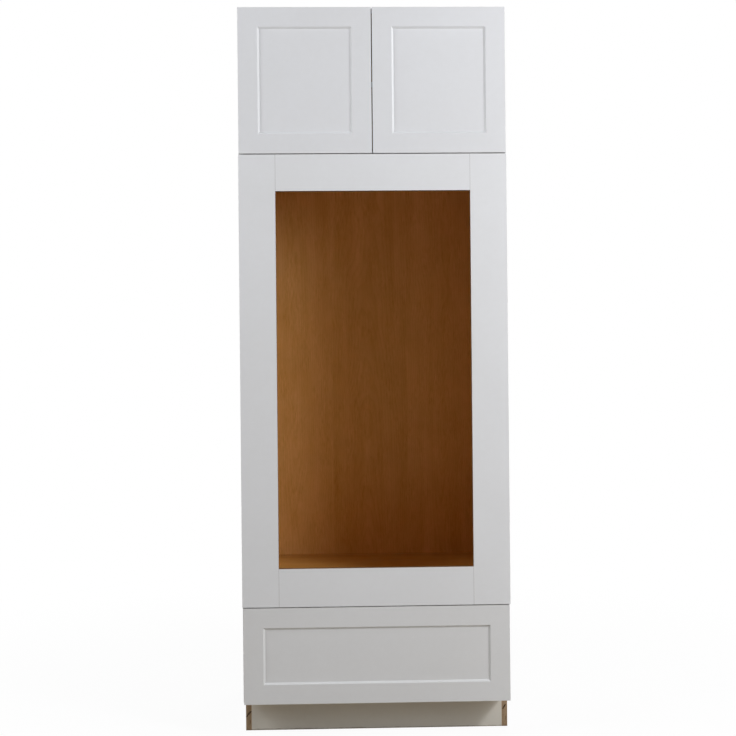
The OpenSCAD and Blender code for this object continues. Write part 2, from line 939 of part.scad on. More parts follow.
side_left();
side_right();
top_panel();
fixed_shelf();
oven_deck();
bottom_panel();
back_panel();
nailer_top();
nailer_shelf();
nailer_deck();
nailer_bottom();
toe_board();
toe_rear_rail();
deck_cleats();
cleat_screws();
deck_stretcher();
shelf_stretcher();
adjustable_shelf();
shelf_pins();
frame_stile_left();
frame_stile_right();
frame_rail_top();
frame_rail_bottom();
frame_dowels();
hinge_plates();
hinge_arms();
hinge_pins();
hinge_screws();
runner_cabinet_left();
runner_cabinet_right();
runner_screws();
runner_dampers();
hinge_outer_links_left();
hinge_outer_links_right();
hinge_inner_links_left();
hinge_inner_links_right();
door_left();
door_right();
hinge_cups_left();
hinge_cups_right();
cup_pins_left();
cup_pins_right();
cup_screws_left();
cup_screws_right();
door_bumpers_left();
door_bumpers_right();
runner_middle_left();
runner_middle_right();
runner_rollers();
runner_drawer_left();
runner_drawer_right();
drawer_front();
drawer_box_front();
drawer_box_back();
drawer_side_left();
drawer_side_right();
drawer_bottom();
locking_clips();
drawer_front_screws();
drawer_bumpers();
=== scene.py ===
"""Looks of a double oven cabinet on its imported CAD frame: materials, rounded edges, light, camera."""

import math

import bpy
from mathutils import Matrix, Vector


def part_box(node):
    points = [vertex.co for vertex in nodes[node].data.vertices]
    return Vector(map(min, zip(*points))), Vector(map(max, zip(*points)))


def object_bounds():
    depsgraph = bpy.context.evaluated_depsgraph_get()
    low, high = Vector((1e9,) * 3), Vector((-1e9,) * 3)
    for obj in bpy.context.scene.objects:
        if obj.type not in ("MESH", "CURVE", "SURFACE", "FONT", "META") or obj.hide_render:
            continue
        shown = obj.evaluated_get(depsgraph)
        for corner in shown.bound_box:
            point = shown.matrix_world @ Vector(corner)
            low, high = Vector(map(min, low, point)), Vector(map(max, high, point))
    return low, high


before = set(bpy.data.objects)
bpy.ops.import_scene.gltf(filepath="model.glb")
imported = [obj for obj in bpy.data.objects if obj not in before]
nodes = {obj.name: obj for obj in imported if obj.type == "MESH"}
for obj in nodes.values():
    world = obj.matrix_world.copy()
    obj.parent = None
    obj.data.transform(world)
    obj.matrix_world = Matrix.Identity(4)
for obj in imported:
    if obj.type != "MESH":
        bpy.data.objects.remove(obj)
cad_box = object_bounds()

MM = 0.001
X, Y, Z = 0, 1, 2
FRONT = (Y, -1)
PLAIN = (1.0, 1.0, 1.0)
USUAL = (0.3, 0.7)  # most values of a noise lie between these
SQUARE_ON = 0.7  # least cosine between a surface's normal and the axis that it faces
FACTOR, FIRST, SECOND, MIXED = 0, 6, 7, 2  # sockets of a Mix node that is set to colours


# Material graphs


class Graph:
    """A material's node tree. Most calls add a node and return its output socket."""

    def __init__(self, name):
        self.mat = bpy.data.materials.new(name)
        self.mat.use_nodes = True
        self.tree = self.mat.node_tree
        self.tree.nodes.clear()
        self.out = self.tree.nodes.new("ShaderNodeOutputMaterial")
        self.shader = self.tree.nodes.new("ShaderNodeBsdfPrincipled")
        self.tree.links.new(self.shader.outputs[0], self.out.inputs["Surface"])
        coords = self.tree.nodes.new("ShaderNodeTexCoord")
        self.place = coords.outputs["Object"]
        self.p = self.split(self.place)
        self.n = self.split(coords.outputs["Normal"])

    def put(self, socket, value):
        """Links a socket, or sets its value. A colour may leave out its alpha."""
        if isinstance(value, bpy.types.NodeSocket):
            self.tree.links.new(value, socket)
        elif isinstance(value, tuple) and len(value) == 3 and socket.type == "RGBA":
            socket.default_value = (*value, 1.0)
        else:
            socket.default_value = value

    def node(self, kind, inputs, out=0, **props):
        made = self.tree.nodes.new("ShaderNode" + kind)
        for key, value in props.items():
            setattr(made, key, value)
        for key, value in inputs.items():
            self.put(made.inputs[key], value)
        return made.outputs[out]

    def split(self, vector):
        """The three outputs x, y and z of a vector."""
        made = self.tree.nodes.new("ShaderNodeSeparateXYZ")
        self.tree.links.new(vector, made.inputs[0])
        return made.outputs

    def join(self, x, y, z):
        return self.node("CombineXYZ", {0: x, 1: y, 2: z})

    def math(self, operation, *values, clamp=False):
        return self.node("Math", dict(enumerate(values)), operation=operation, use_clamp=clamp)

    def add(self, a, b):
        return self.math("ADD", a, b)

    def minus(self, a, b):
        return self.math("SUBTRACT", a, b)

    def times(self, a, b):
        return self.math("MULTIPLY", a, b)

    def length(self, a, b):
        return self.math("SQRT", self.add(self.times(a, a), self.times(b, b)))

    def mix(self, factor, a, b, blend="MIX"):
        """a where factor is 0, and b where it is 1."""
        inputs = {FACTOR: factor, FIRST: a, SECOND: b}
        return self.node("Mix", inputs, out=MIXED, data_type="RGBA", blend_type=blend)

    def tint(self, factor, colour, by):
        """colour multiplied by another one, as much as factor says."""
        return self.mix(factor, colour, by, blend="MULTIPLY")

    def span(self, value, low, high, to_low=0.0, to_high=1.0, smooth=False):
        """value, with low mapped to to_low and high to to_high, and held at those beyond them."""
        kind = "SMOOTHSTEP" if smooth else "LINEAR"
        inputs = {0: value, 1: low, 2: high, 3: to_low, 4: to_high}
        return self.node("MapRange", inputs, interpolation_type=kind)

    def spread(self, noise, to_low=0.0, to_high=1.0):
        """A noise, with its usual values mapped to the range from to_low to to_high."""
        return self.span(noise, *USUAL, to_low, to_high)

    def noise(self, vector, scale=1.0, detail=2.0, roughness=0.5):
        inputs = {"Vector": vector, "Scale": scale, "Detail": detail, "Roughness": roughness}
        return self.node("TexNoise", inputs)

    def grain(self, across, along, across_rate, along_rate, layer=0.0, detail=2.0, roughness=0.5):
        """Noise drawn out along the grain, with so many changes a metre each way."""
        place = self.join(self.times(across, across_rate), self.times(along, along_rate), layer)
        return self.noise(place, 1.0, detail, roughness)

    def bump(self, height, distance, strength, under=None):
        """Normal from a height, on top of the bump that is under it."""
        inputs = {"Height": height, "Distance": distance, "Strength": strength}
        if under is not None:
            inputs["Normal"] = under
        return self.node("Bump", inputs)

    def facing(self, axis, sign=0):
        """1 where the surface faces along an axis: either way, or the way that sign says."""
        if sign == 0:
            value = self.math("ABSOLUTE", self.n[axis])
        else:
            value = self.times(self.n[axis], float(sign))
        return self.math("GREATER_THAN", value, SQUARE_ON)

    def finish(self, colour, roughness, normal=None, **sockets):
        """Sets the shader's sockets, where _ in a name is a space, and gives the material."""
        self.put(self.shader.inputs["Base Color"], colour)
        self.put(self.shader.inputs["Roughness"], roughness)
        if normal is not None:
            self.put(self.shader.inputs["Normal"], normal)
        for key, value in sockets.items():
            self.put(self.shader.inputs[key.replace("_", " ")], value)
        return self.mat


def scaled(colour, by):
    return tuple(by * c for c in colour)


def worn(g, node, thick, colour, wear):
    """colour, rubbed along the outline of a board seen along its thickness. wear is the width of
    the rubbed edge, the share of its tint, and that tint."""
    width, share, tone = wear
    low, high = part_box(node)
    least = None
    for axis in (X, Y, Z):
        if axis == thick:
            continue
        middle = (low[axis] + high[axis]) / 2
        half = (high[axis] - low[axis]) / 2
        inset = g.minus(half, g.math("ABSOLUTE", g.minus(g.p[axis], middle)))
        least = inset if least is None else g.math("MINIMUM", least, inset)
    rim = g.span(least, 0.0, width, 1.0, 0.0)
    return g.tint(g.times(rim, share), colour, tone)


# Paint

PAINT = (0.80, 0.808, 0.826)
PAINT_SHADE = (0.765, 0.769, 0.780)
PAINT_ROUGH = (0.36, 0.46)
PAINT_WEAR = (1.6 * MM, 0.6, (0.93, 0.915, 0.89))
JOINT_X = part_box("frame_stile_right")[0][X]
JOINT_WIDTH = 1.1 * MM
JOINT_SHADOW = (0.3, 0.29, 0.28)
# Brown of the frame's inner edges, far darker than the oven space's stain: stain and painted shade
EDGE_STAIN_AND_SHADE = ((0.20, 0.11, 0.04), (0.10, 0.05, 0.02))


def paint_colour(g, seed, tone):
    """White satin lacquer with broad and fine mottling, multiplied by a tone."""
    shifted = g.node("VectorMath", {0: g.place, 1: (seed, seed * 0.7, seed * 1.3)})
    cloud = g.noise(shifted, scale=3.0, detail=3.0, roughness=0.6)
    fine = g.noise(g.place, scale=60.0)
    blend = g.add(g.span(cloud, 0.25, 0.75, 0.0, 0.75), g.spread(fine, 0.0, 0.25))
    light, shade = (tuple(a * b for a, b in zip(c, tone)) for c in (PAINT, PAINT_SHADE))
    return g.mix(blend, light, shade)


def paint_normal(g):
    """Orange peel of sprayed lacquer, over the slight waviness of a sanded board."""
    peel = g.noise(g.place, scale=480.0, roughness=0.45)
    wave = g.noise(g.place, scale=14.0, detail=1.0)
    waviness = g.bump(wave, distance=0.5 * MM, strength=0.2)
    return g.bump(peel, distance=0.02 * MM, strength=0.4, under=waviness)


def painted(node, seed, tone, joints=False, inner=None):
    """Painted front with slightly worn edges. joints adds the hairlines where a rail meets the
    stiles, and inner is the side, as axis and sign, painted a brown far darker than the oven
    space's stain: stain with painted shade in it."""
    g = Graph("paint_" + node)
    colour = worn(g, node, Y, paint_colour(g, seed, tone), PAINT_WEAR)
    if joints:
        inset = g.minus(JOINT_X, g.math("ABSOLUTE", g.p[X]))
        colour = g.tint(g.span(inset, 0.0, JOINT_WIDTH, 1.0, 0.0), colour, JOINT_SHADOW)
    if inner is not None:
        streak = g.grain(g.p[Y], g.add(g.p[X], g.p[Z]), across_rate=700.0, along_rate=30.0)
        # the inner side: the stain, darkened with painted shade
        colour = g.mix(g.facing(*inner), colour, g.mix(g.spread(streak), *EDGE_STAIN_AND_SHADE))
    smudge = g.noise(g.place, scale=9.0, detail=4.0, roughness=0.65)
    rough = g.span(smudge, 0.3, 0.75, *PAINT_ROUGH)
    gloss = {"Specular_IOR_Level": 0.42, "Coat_Weight": 0.06, "Coat_Roughness": 0.3}
    return g.finish(colour, rough, paint_normal(g), **gloss)


# Wood

# Pale and dark tone of each wood
STAIN = ((0.83, 0.51, 0.23), (0.56, 0.312, 0.072))
# the oven space's brown, made darker, for the oven deck's top
DECK_DARKER_BROWN = ((0.58, 0.33, 0.10), (0.45, 0.235, 0.06))
RAW = ((0.72, 0.56, 0.38), (0.60, 0.43, 0.27))
BEECH = ((0.76, 0.585, 0.39), (0.64, 0.455, 0.275))
PLY_LIGHT = (0.60, 0.44, 0.28)
PLY_DARK = (0.33, 0.215, 0.13)
LONG_GRAIN = (PLY_LIGHT, scaled(PLY_LIGHT, 0.78))
SHORT_GRAIN = (PLY_DARK, scaled(PLY_DARK, 0.6))
END_GRAIN = (scaled(BEECH[1], 0.72), scaled(BEECH[1], 0.5))

# Tints of faults, of painted shade and shadow, and the wear of edges
GLUE = (0.45, 0.38, 0.3)
# dark voids in ply edges, and also the painted shadow streaks
VOID_AND_SHADOW = (0.2, 0.17, 0.14)
# painted contact shadow at the foot of boards that stand on the floor
FOOT_SHADE_TINT = (0.58, 0.54, 0.50)
END_SPECK = (0.55, 0.5, 0.42)
PLY_WEAR = (2.2 * MM, 0.35, (0.62, 0.55, 0.48))
BOARD_WEAR = (1.8 * MM, 0.3, (0.75, 0.68, 0.6))

# Noises in a leaf of veneer: changes a metre across and along the grain, detail and roughness,
# and for those that stain it the least and the most of the dark tone that they add
WANDER = (3.2, 1.1, 3.0, 0.55)
PATCH = (16.0, 6.0, 2.0, 0.5)
PORE = (1100.0, 60.0, 2.0, 0.6)
BROAD = (7.0, 0.7, 2.0, 0.5, -0.10, 0.12)
BAND = (28.0, 0.9, 3.0, 0.6, -0.05, 0.25)
BLOTCH = (13.0, 5.0, 3.0, 0.6, -0.05, 0.20)
DASH = (190.0, 22.0, 2.0, 0.6, -0.14, 0.20)
FLECK = (420.0, 45.0, 2.0, 0.6, -0.14, 0.24)

# Share of the dark tone in the whole veneer, and what late wood, a leaf's luck and pores add
BASE_STAIN = 0.15
LATE_STAIN = 0.14
LEAF_STAIN = 0.06
PORE_STAIN = 0.24

# Where in its own range each noise counts, and the least share that a patch leaves of the flecks
WANDER_RANGE = (0.2, 0.8)
PATCH_RANGE = (0.35, 0.65)
PATCH_LEAST = 0.35
PATCH_LAYER = 5.0
PORE_RANGE = (0.55, 0.8)

# Arches: the depths between which a leaf is cut at the origin, and how far depth and centre
# wander, in metres, then the wander, the rise and the fall of late wood, in rings
CUT_DEPTH = (-0.07, 0.05)
DEPTH_WANDER = 0.035
CENTRE_WANDER = 0.03
RING_WANDER = 1.6
LATE_RISE = (0.35, 0.9)
LATE_FALL = (0.9, 1.0)

# Heights for the bump, of pores and late wood, and of short and long grain in a plywood edge
PORE_HEIGHT = 0.6
LATE_HEIGHT = 0.25
ODD_HEIGHT = -0.5
PIT_HEIGHT = 0.5

# Noises in a plywood edge: changes a metre through and along it, layer, detail and roughness
FIBRE = (1500.0, 60.0, 0.0, 3.0, 0.6)
PIT = (500.0, 500.0, 3.0, 3.0, 0.7)
VOID = (330.0, 24.0, 9.0, 1.0, 0.5)
VOID_RANGE = (0.74, 0.78)
GLUE_WIDTH = 0.12  # of a ply
GLUE_SHARE = 0.7

PLY_ROUGH = (0.5, 0.62)
SMOOTHER = 0.16  # how much less rough the paint on a panel is
OTHER_SIDE = 0.37  # shift of the leaves on a panel's high side, in leaves

# Beech boards: the repeat of the grain on faces and long edges, its shift, and the end's rings
FACE_LEAF = 0.11
EDGE_LEAF = 0.07
EDGE_SHIFT = 0.4
PITH = 0.35
RING_RATE = 1900.0
BOARD_ROUGH = (0.34, 0.48)
END_ROUGHER = 0.2


def late_wood(g, along, local, luck, wander, slope, ring):
    """1 in the late wood of a leaf's arches, which are rings so far apart, cut at a slope."""
    depth = g.math("MULTIPLY_ADD", along, slope, g.span(luck, 0.0, 1.0, *CUT_DEPTH))
    depth = g.add(depth, g.span(wander, *WANDER_RANGE, -DEPTH_WANDER, DEPTH_WANDER))
    centre = g.add(local, g.span(wander, *WANDER_RANGE, CENTRE_WANDER, -CENTRE_WANDER))
    swerve = g.times(wander, RING_WANDER)
    wave = g.math("FRACT", g.math("MULTIPLY_ADD", g.length(depth, centre), 1.0 / ring, swerve))
    rise = g.span(wave, *LATE_RISE, smooth=True)
    fall = g.span(wave, *LATE_FALL, 1.0, 0.0, smooth=True)
    return g.times(rise, fall)


def veneer(g, across, along, leaf, seed, tones, slope, ring=0.0075):
    """Flat-cut birch: leaves side by side, each with faint nested arches, broad and narrow bands,
    blotches, dashes and flecks that come and go, and fine pores. Gives colour and height."""

    def noise(layer, across_rate, along_rate, detail, roughness):
        return g.grain(across, along, across_rate, along_rate, layer, detail, roughness)

    def stain(*look):
        return g.spread(noise(index, *look[:4]), *look[4:])

    leaves = g.math("MULTIPLY_ADD", across, 1.0 / leaf, seed)
    index = g.math("FLOOR", leaves)
    local = g.times(g.minus(g.math("FRACT", leaves), 0.5), leaf)
    luck = g.node("TexWhiteNoise", {"W": index}, noise_dimensions="1D")
    late = late_wood(g, along, local, luck, noise(index, *WANDER), slope, ring)
    patch = noise(g.add(index, PATCH_LAYER), *PATCH)
    patch = g.span(patch, *PATCH_RANGE, PATCH_LEAST, 1.0, smooth=True)
    pore = noise(0.0, *PORE)
    amount = g.add(g.times(late, LATE_STAIN), g.times(luck, LEAF_STAIN))
    for look in (BROAD, BAND, BLOTCH):
        amount = g.add(amount, stain(*look))
    short = g.add(stain(*DASH), stain(*FLECK))
    amount = g.add(amount, g.math("MULTIPLY_ADD", short, patch, BASE_STAIN))
    amount = g.math("ADD", amount, g.span(pore, *PORE_RANGE, 0.0, PORE_STAIN), clamp=True)
    height = g.add(g.times(pore, PORE_HEIGHT), g.times(late, LATE_HEIGHT))
    return g.mix(amount, *tones), height


def plies(g, through, along, thick, count):
    """Raw plywood edge: plies of long and short grain, glue lines, and small voids. Gives colour
    and height."""
    ply = g.times(through, count / thick)
    odd = g.math("GREATER_THAN", g.math("FRACT", g.times(ply, 0.5)), 0.5)
    glue = g.math("LESS_THAN", g.math("FRACT", ply), GLUE_WIDTH)
    pit = g.grain(through, along, *PIT)
    light = g.mix(g.spread(g.grain(through, along, *FIBRE)), *LONG_GRAIN)
    dark = g.mix(g.spread(pit), *SHORT_GRAIN)
    colour = g.tint(g.times(glue, GLUE_SHARE), g.mix(odd, light, dark), GLUE)
    colour = g.tint(g.span(g.grain(through, along, *VOID), *VOID_RANGE), colour, VOID_AND_SHADOW)
    return colour, g.math("MULTIPLY_ADD", odd, ODD_HEIGHT, g.times(pit, PIT_HEIGHT))


def shadow_streak(g, start, end, width):
    """1 on a ragged diagonal streak of painted shadow from the drawer front, on a forward edge, from
    one point (x, z) to a higher one.
    """
    run_x, run_z = end[0] - start[0], end[1] - start[1]
    size = math.hypot(run_x, run_z)
    side = g.add(g.times(g.p[X], run_z / size), g.times(g.p[Z], -run_x / size))
    offset = (start[0] * run_z - start[1] * run_x) / size
    off = g.math("ABSOLUTE", g.minus(side, offset))
    jag = 0.2 * width
    ragged = g.add(off, g.spread(g.noise(g.place, scale=300.0), -jag, jag))
    above = g.math("GREATER_THAN", g.p[Z], start[1])
    below = g.math("LESS_THAN", g.p[Z], end[1])
    inner, outer = 0.3 * width, 0.6 * width
    return g.times(g.times(above, below), g.span(ragged, inner, outer, 1.0, 0.0))


def foot_shaded(g, colour, top):
    """colour, darkened with painted contact shadow up to a ragged line about as high as top."""
    jag = 0.3 * top
    height = g.add(g.p[Z], g.spread(g.noise(g.place, scale=40.0), -jag, jag))
    full, none = 0.6 * top, 1.2 * top
    return g.tint(g.span(height, full, none, 1.0, 0.0), colour, FOOT_SHADE_TINT)


def third_axis(one, other):
    return ({X, Y, Z} - {one, other}).pop()


def panel(node, thick, along, seed, faces=(STAIN, STAIN), leaf=0.29, slope=0.055, count=9,
          split=None, skin=None, band=False, tone=PLAIN, foot_shade=0.0):
    """Plywood board of count plies. faces are the woods of its low and high side, split a painted
    shadow streak on its forward edge, skin the side that is painted, band paints the edge that faces
    forward, tone is that paint's tone, and the last is the height of painted contact shadow at its
    foot."""
    g = Graph("wood_" + node)
    low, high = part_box(node)
    a, b = g.p[third_axis(thick, along)], g.p[along]
    colour, height = veneer(g, a, b, leaf, seed, faces[0], slope)
    if faces[1] is not faces[0]:
        other, _ = veneer(g, a, b, leaf, seed + OTHER_SIDE, faces[1], slope)
        colour = g.mix(g.facing(thick, 1), colour, other)
    through = g.minus(g.p[thick], low[thick])
    edge, edge_height = plies(g, through, g.add(a, b), high[thick] - low[thick], count)
    if split is not None:
        # painted shadow streak of the drawer front across the forward ply edge
        edge = g.tint(g.times(g.facing(*FRONT), shadow_streak(g, *split)), edge, VOID_AND_SHADOW)
    flat = g.facing(thick)
    colour = worn(g, node, thick, g.mix(flat, edge, colour), PLY_WEAR)
    height = g.add(g.times(flat, height), g.times(g.minus(1.0, flat), edge_height))
    rough = g.spread(g.noise(g.place, scale=16.0, detail=3.0), *PLY_ROUGH)
    white = None
    if skin is not None:
        white = g.facing(thick, skin)
    if band:
        foremost = g.math("LESS_THAN", g.p[Y], low[Y] + MM)
        strip = g.times(g.facing(*FRONT), foremost)
        white = strip if white is None else g.math("MAXIMUM", white, strip)
    if white is not None:
        colour = g.mix(white, colour, paint_colour(g, seed, tone))
        rough = g.math("MULTIPLY_ADD", white, -SMOOTHER, rough)
        height = g.times(height, g.minus(1.0, white))
    # painted contact shadow along the foot
    if foot_shade:
        colour = foot_shaded(g, colour, foot_shade)
    normal = g.bump(height, distance=0.1 * MM, strength=0.4)
    return g.finish(colour, rough, normal, Specular_IOR_Level=0.16)


def board(node, thick, along, seed):
    """Beech board: flat-cut faces, finer long edges, and darker end grain with its own rings."""
    g = Graph("board_" + node)
    across = third_axis(thick, along)
    a, b, c = g.p[across], g.p[along], g.p[thick]
    colour, height = veneer(g, a, b, FACE_LEAF, seed, BEECH, slope=0.03, ring=0.0042)
    side, _ = veneer(g, c, b, EDGE_LEAF, seed + EDGE_SHIFT, BEECH, slope=0.02, ring=0.0035)
    colour = g.mix(g.facing(across), colour, side)
    rings = g.math("SINE", g.times(g.length(g.add(a, PITH), c), RING_RATE))
    end = g.mix(g.span(rings, -1.0, 1.0, 0.1, 0.7), *END_GRAIN)
    speck = g.noise(g.place, scale=2600.0, detail=1.0)
    end = g.tint(g.span(speck, 0.5, 0.75, 0.0, 0.6), end, END_SPECK)
    cut_end = g.facing(along)
    colour = worn(g, node, thick, g.mix(cut_end, colour, end), BOARD_WEAR)
    rough = g.spread(g.noise(g.place, scale=22.0, detail=3.0), *BOARD_ROUGH)
    rough = g.math("MULTIPLY_ADD", cut_end, END_ROUGHER, rough)
    normal = g.bump(height, distance=0.08 * MM, strength=0.5)
    return g.finish(colour, rough, normal, Specular_IOR_Level=0.42, Coat_Weight=0.12)


# Metal and plastic

ROLLED_ACROSS = 900.0  # changes a metre across the rolling lines
ROLLED_ALONG = 12.0


def plated(name, tone=(0.72, 0.72, 0.70), rough=(0.22, 0.36), lines=None):
    """Nickel or zinc plate with cloudy roughness and fine marks, which are drawn out to rolling
    lines where lines names an axis."""
    g = Graph(name)
    cloud = g.noise(g.place, scale=60.0, detail=4.0, roughness=0.6)
    if lines is None:
        streak = g.noise(g.place, scale=500.0)
    else:
        rates = tuple(ROLLED_ALONG if i == lines else ROLLED_ACROSS for i in (X, Y, Z))
        streak = g.noise(g.node("VectorMath", {0: g.place, 1: rates}, operation="MULTIPLY"))
    colour = g.mix(g.spread(cloud), tone, scaled(tone, 0.82))
    value = g.add(g.spread(cloud, *rough), g.spread(streak, 0.0, 0.08))
    normal = g.bump(streak, distance=0.01 * MM, strength=0.35)
    return g.finish(colour, value, normal, Metallic=1.0)


def moulded(name, tone, rough, **sockets):
    """Moulded plastic: spark-eroded texture, slight flow marks."""
    g = Graph(name)
    texture = g.noise(g.place, scale=1800.0)
    flow = g.noise(g.place, scale=70.0, detail=3.0)
    colour = g.mix(g.spread(flow), tone, scaled(tone, 0.86))
    value = g.spread(flow, rough - 0.05, rough + 0.06)
    normal = g.bump(texture, distance=0.02 * MM, strength=0.4)
    return g.finish(colour, value, normal, **sockets)


# Materials of the CAD nodes

# Tone of the one white paint on each group: the frame's a little brighter, the drawer front's darker
# and warmer as painted shade and painted floor bounce
DOOR_TONE = (1.02, 1.02, 1.025)
FRAME_TONE = (1.04, 1.04, 1.04)
DRAWER_SHADE_TONE = (0.995, 0.99, 0.978)
TOE_TONE = (0.96, 0.92, 0.82)

DOORS = {
    "door_left": dict(seed=0.0, tone=DOOR_TONE),
    "door_right": dict(seed=1.7, tone=DOOR_TONE),
}
FRAME_PIECES = {
    "frame_stile_left": dict(seed=0.9, tone=FRAME_TONE, inner=(X, 1)),
    "frame_stile_right": dict(seed=3.2, tone=FRAME_TONE, inner=(X, -1)),
    "frame_rail_top": dict(seed=5.5, tone=FRAME_TONE, inner=(Z, -1), joints=True),
    "frame_rail_bottom": dict(seed=7.8, tone=FRAME_TONE, inner=(Z, 1), joints=True),
}
DRAWER_FRONT = {
    "drawer_front": dict(seed=3.4, tone=DRAWER_SHADE_TONE),
}

# Painted shadow streaks of the drawer front on the edges beside the toe space: two points (x, z) and a
# width
LEFT_SHADOW_STREAK = ((-0.418, 0.043), (-0.402, 0.062), 5 * MM)
RIGHT_SHADOW_STREAK = ((0.404, 0.0545), (0.4135, 0.0696), 4 * MM)

SIDE = dict(thick=X, along=Z, leaf=0.31, band=True, foot_shade=3 * MM)
SHELF = dict(thick=Z, along=X, band=True)
BACK = dict(thick=Y, along=Z, leaf=0.272, slope=0.05, count=3)
CROSSPIECE = dict(thick=Y, along=X, leaf=0.13)
RAW_CROSSPIECE = dict(CROSSPIECE, faces=(RAW, RAW))
PANELS = {
    "side_left": dict(SIDE, seed=-0.2, skin=-1, split=LEFT_SHADOW_STREAK),
    "side_right": dict(SIDE, seed=0.2, skin=1, split=RIGHT_SHADOW_STREAK),
    "top_panel": dict(SHELF, seed=0.13, faces=(STAIN, RAW)),
    "fixed_shelf": dict(SHELF, seed=0.55),
    "oven_deck": dict(SHELF, seed=0.31, faces=(STAIN, DECK_DARKER_BROWN), leaf=0.21, slope=0.04),
    "bottom_panel": dict(SHELF, seed=0.77, faces=(RAW, STAIN)),
    "adjustable_shelf": dict(SHELF, seed=0.91),
    "back_panel": dict(BACK, seed=0.5, faces=(STAIN, RAW)),
    "nailer_top": dict(RAW_CROSSPIECE, seed=0.0),
    "nailer_shelf": dict(RAW_CROSSPIECE, seed=0.17),
    "nailer_deck": dict(RAW_CROSSPIECE, seed=0.34),
    "nailer_bottom": dict(RAW_CROSSPIECE, seed=0.51),
    "toe_rear_rail": dict(RAW_CROSSPIECE, seed=0.68),
    "toe_board": dict(RAW_CROSSPIECE, seed=0.4, skin=-1, tone=TOE_TONE, foot_shade=4 * MM),
    "deck_stretcher": dict(CROSSPIECE, seed=0.0),
    "shelf_stretcher": dict(CROSSPIECE, seed=0.29),
    "deck_cleats": dict(thick=X, along=Y, leaf=0.13, seed=0.6),
}
DOWELS = {
    "frame_dowels": dict(thick=X, along=Y, seed=0.0),
}
DRAWER_BOARDS = {
    "drawer_box_front": dict(thick=Y, along=X, seed=0.0),
    "drawer_box_back": dict(thick=Y, along=X, seed=0.23),
    "drawer_side_left": dict(thick=X, along=Y, seed=0.46),
    "drawer_side_right": dict(thick=X, along=Y, seed=0.69),
    "drawer_bottom": dict(thick=Z, along=X, seed=0.92),
}


def dress(node, material):
    """Gives a CAD node its material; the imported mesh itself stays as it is."""
    slots = nodes[node].material_slots
    for slot in slots:
        slot.link = "OBJECT"
        slot.material = material
    if not slots:
        nodes[node].data.materials.append(material)


def both_sides(*names):
    """Each name with _left and with _right at its end."""
    return tuple(name + side for name in names for side in ("_left", "_right"))


HINGE_BLANKS = ("hinge_arms", "hinge_plates", *both_sides("hinge_cups"))
HINGE_LINKS = both_sides("hinge_outer_links", "hinge_inner_links")
RUNNERS = both_sides("runner_cabinet", "runner_middle", "runner_drawer")
PINS = ("hinge_pins", "shelf_pins", *both_sides("cup_pins"))
BOX_SCREWS = ("cleat_screws", "runner_screws", "drawer_front_screws")
HINGE_SCREWS = ("hinge_screws", *both_sides("cup_screws"))
BUMPERS = ("drawer_bumpers", *both_sides("door_bumpers"))

STEEL = plated("steel_plated")
STEEL_LONG = plated("steel_rolled", (0.66, 0.66, 0.65), (0.28, 0.42), lines=Y)
STEEL_PIN = plated("steel_pin", (0.78, 0.77, 0.74), (0.16, 0.28))
CLEAR = moulded("clear_bumper", (0.86, 0.88, 0.9), 0.2, Transmission_Weight=0.75)
DARK = moulded("dark_plastic", (0.045, 0.046, 0.05), 0.42)
IVORY_DEPTH = {"Subsurface_Weight": 0.15, "Subsurface_Scale": 2 * MM}
IVORY = moulded("ivory_plastic", (0.78, 0.74, 0.64), 0.4, **IVORY_DEPTH)
GREY = moulded("grey_plastic", (0.17, 0.175, 0.18), 0.45)

for make, looks in (
    (painted, {**DOORS, **FRAME_PIECES, **DRAWER_FRONT}),
    (panel, PANELS),
    (board, {**DOWELS, **DRAWER_BOARDS}),
):
    for node, look in looks.items():
        dress(node, make(node, **look))
for material, names in (
    (STEEL, (*HINGE_BLANKS, *HINGE_LINKS)),
    (STEEL_PIN, (*PINS, *BOX_SCREWS, *HINGE_SCREWS)),
    (STEEL_LONG, RUNNERS),
    (CLEAR, BUMPERS),
    (DARK, ("runner_dampers",)),
    (IVORY, ("runner_rollers",)),
    (GREY, ("locking_clips",)),
):
    for node in names:
        dress(node, material)


# Rounded edges

ROUND_ANGLE = math.radians(28.0)
WELD = 0.002 * MM


def soften(node, width, segments):
    """Weld and a small round on the edges, as modifiers."""
    made = nodes[node]
    made.modifiers.new("weld", "WELD").merge_threshold = WELD
    edge = made.modifiers.new("round", "BEVEL")
    edge.width = width
    edge.segments = segments
    edge.limit_method = "ANGLE"
    edge.angle_limit = ROUND_ANGLE
    edge.harden_normals = True
    edge.use_clamp_overlap = True


for names, width, segments in (
    ((*DOORS, *DRAWER_FRONT), 0.9 * MM, 3),
    (FRAME_PIECES, 0.5 * MM, 2),
    (PANELS, 0.35 * MM, 2),
    (DRAWER_BOARDS, 0.6 * MM, 2),
    ((*HINGE_BLANKS, *RUNNERS, "runner_dampers", "locking_clips"), 0.2 * MM, 2),
):
    for node in names:
        soften(node, width, segments)


# Floor and backdrop

FLOOR_SIZE = 14.0
FLOOR_ROUGH = 0.8
FLOOR_WARM = ((0.46, 0.415, 0.345), (0.44, 0.395, 0.33))  # for the light that it throws back
FLOOR_SEEN = (0.95, 0.95, 0.95)
NEAR_R = 0.7  # from here to FAR_R the floor turns white
FAR_R = 2.6
NEAR_GLOW = 0.94


def looking_rays(tree):
    """1 on camera, glossy and transmission rays, and 0 on the rays that carry the light."""
    path = tree.nodes.new("ShaderNodeLightPath")
    value = path.outputs["Is Camera Ray"]
    for name in ("Is Glossy Ray", "Is Transmission Ray"):
        most = tree.nodes.new("ShaderNodeMath")
        most.operation = "MAXIMUM"
        tree.links.new(value, most.inputs[0])
        tree.links.new(path.outputs[name], most.inputs[1])
        value = most.outputs[0]
    return value


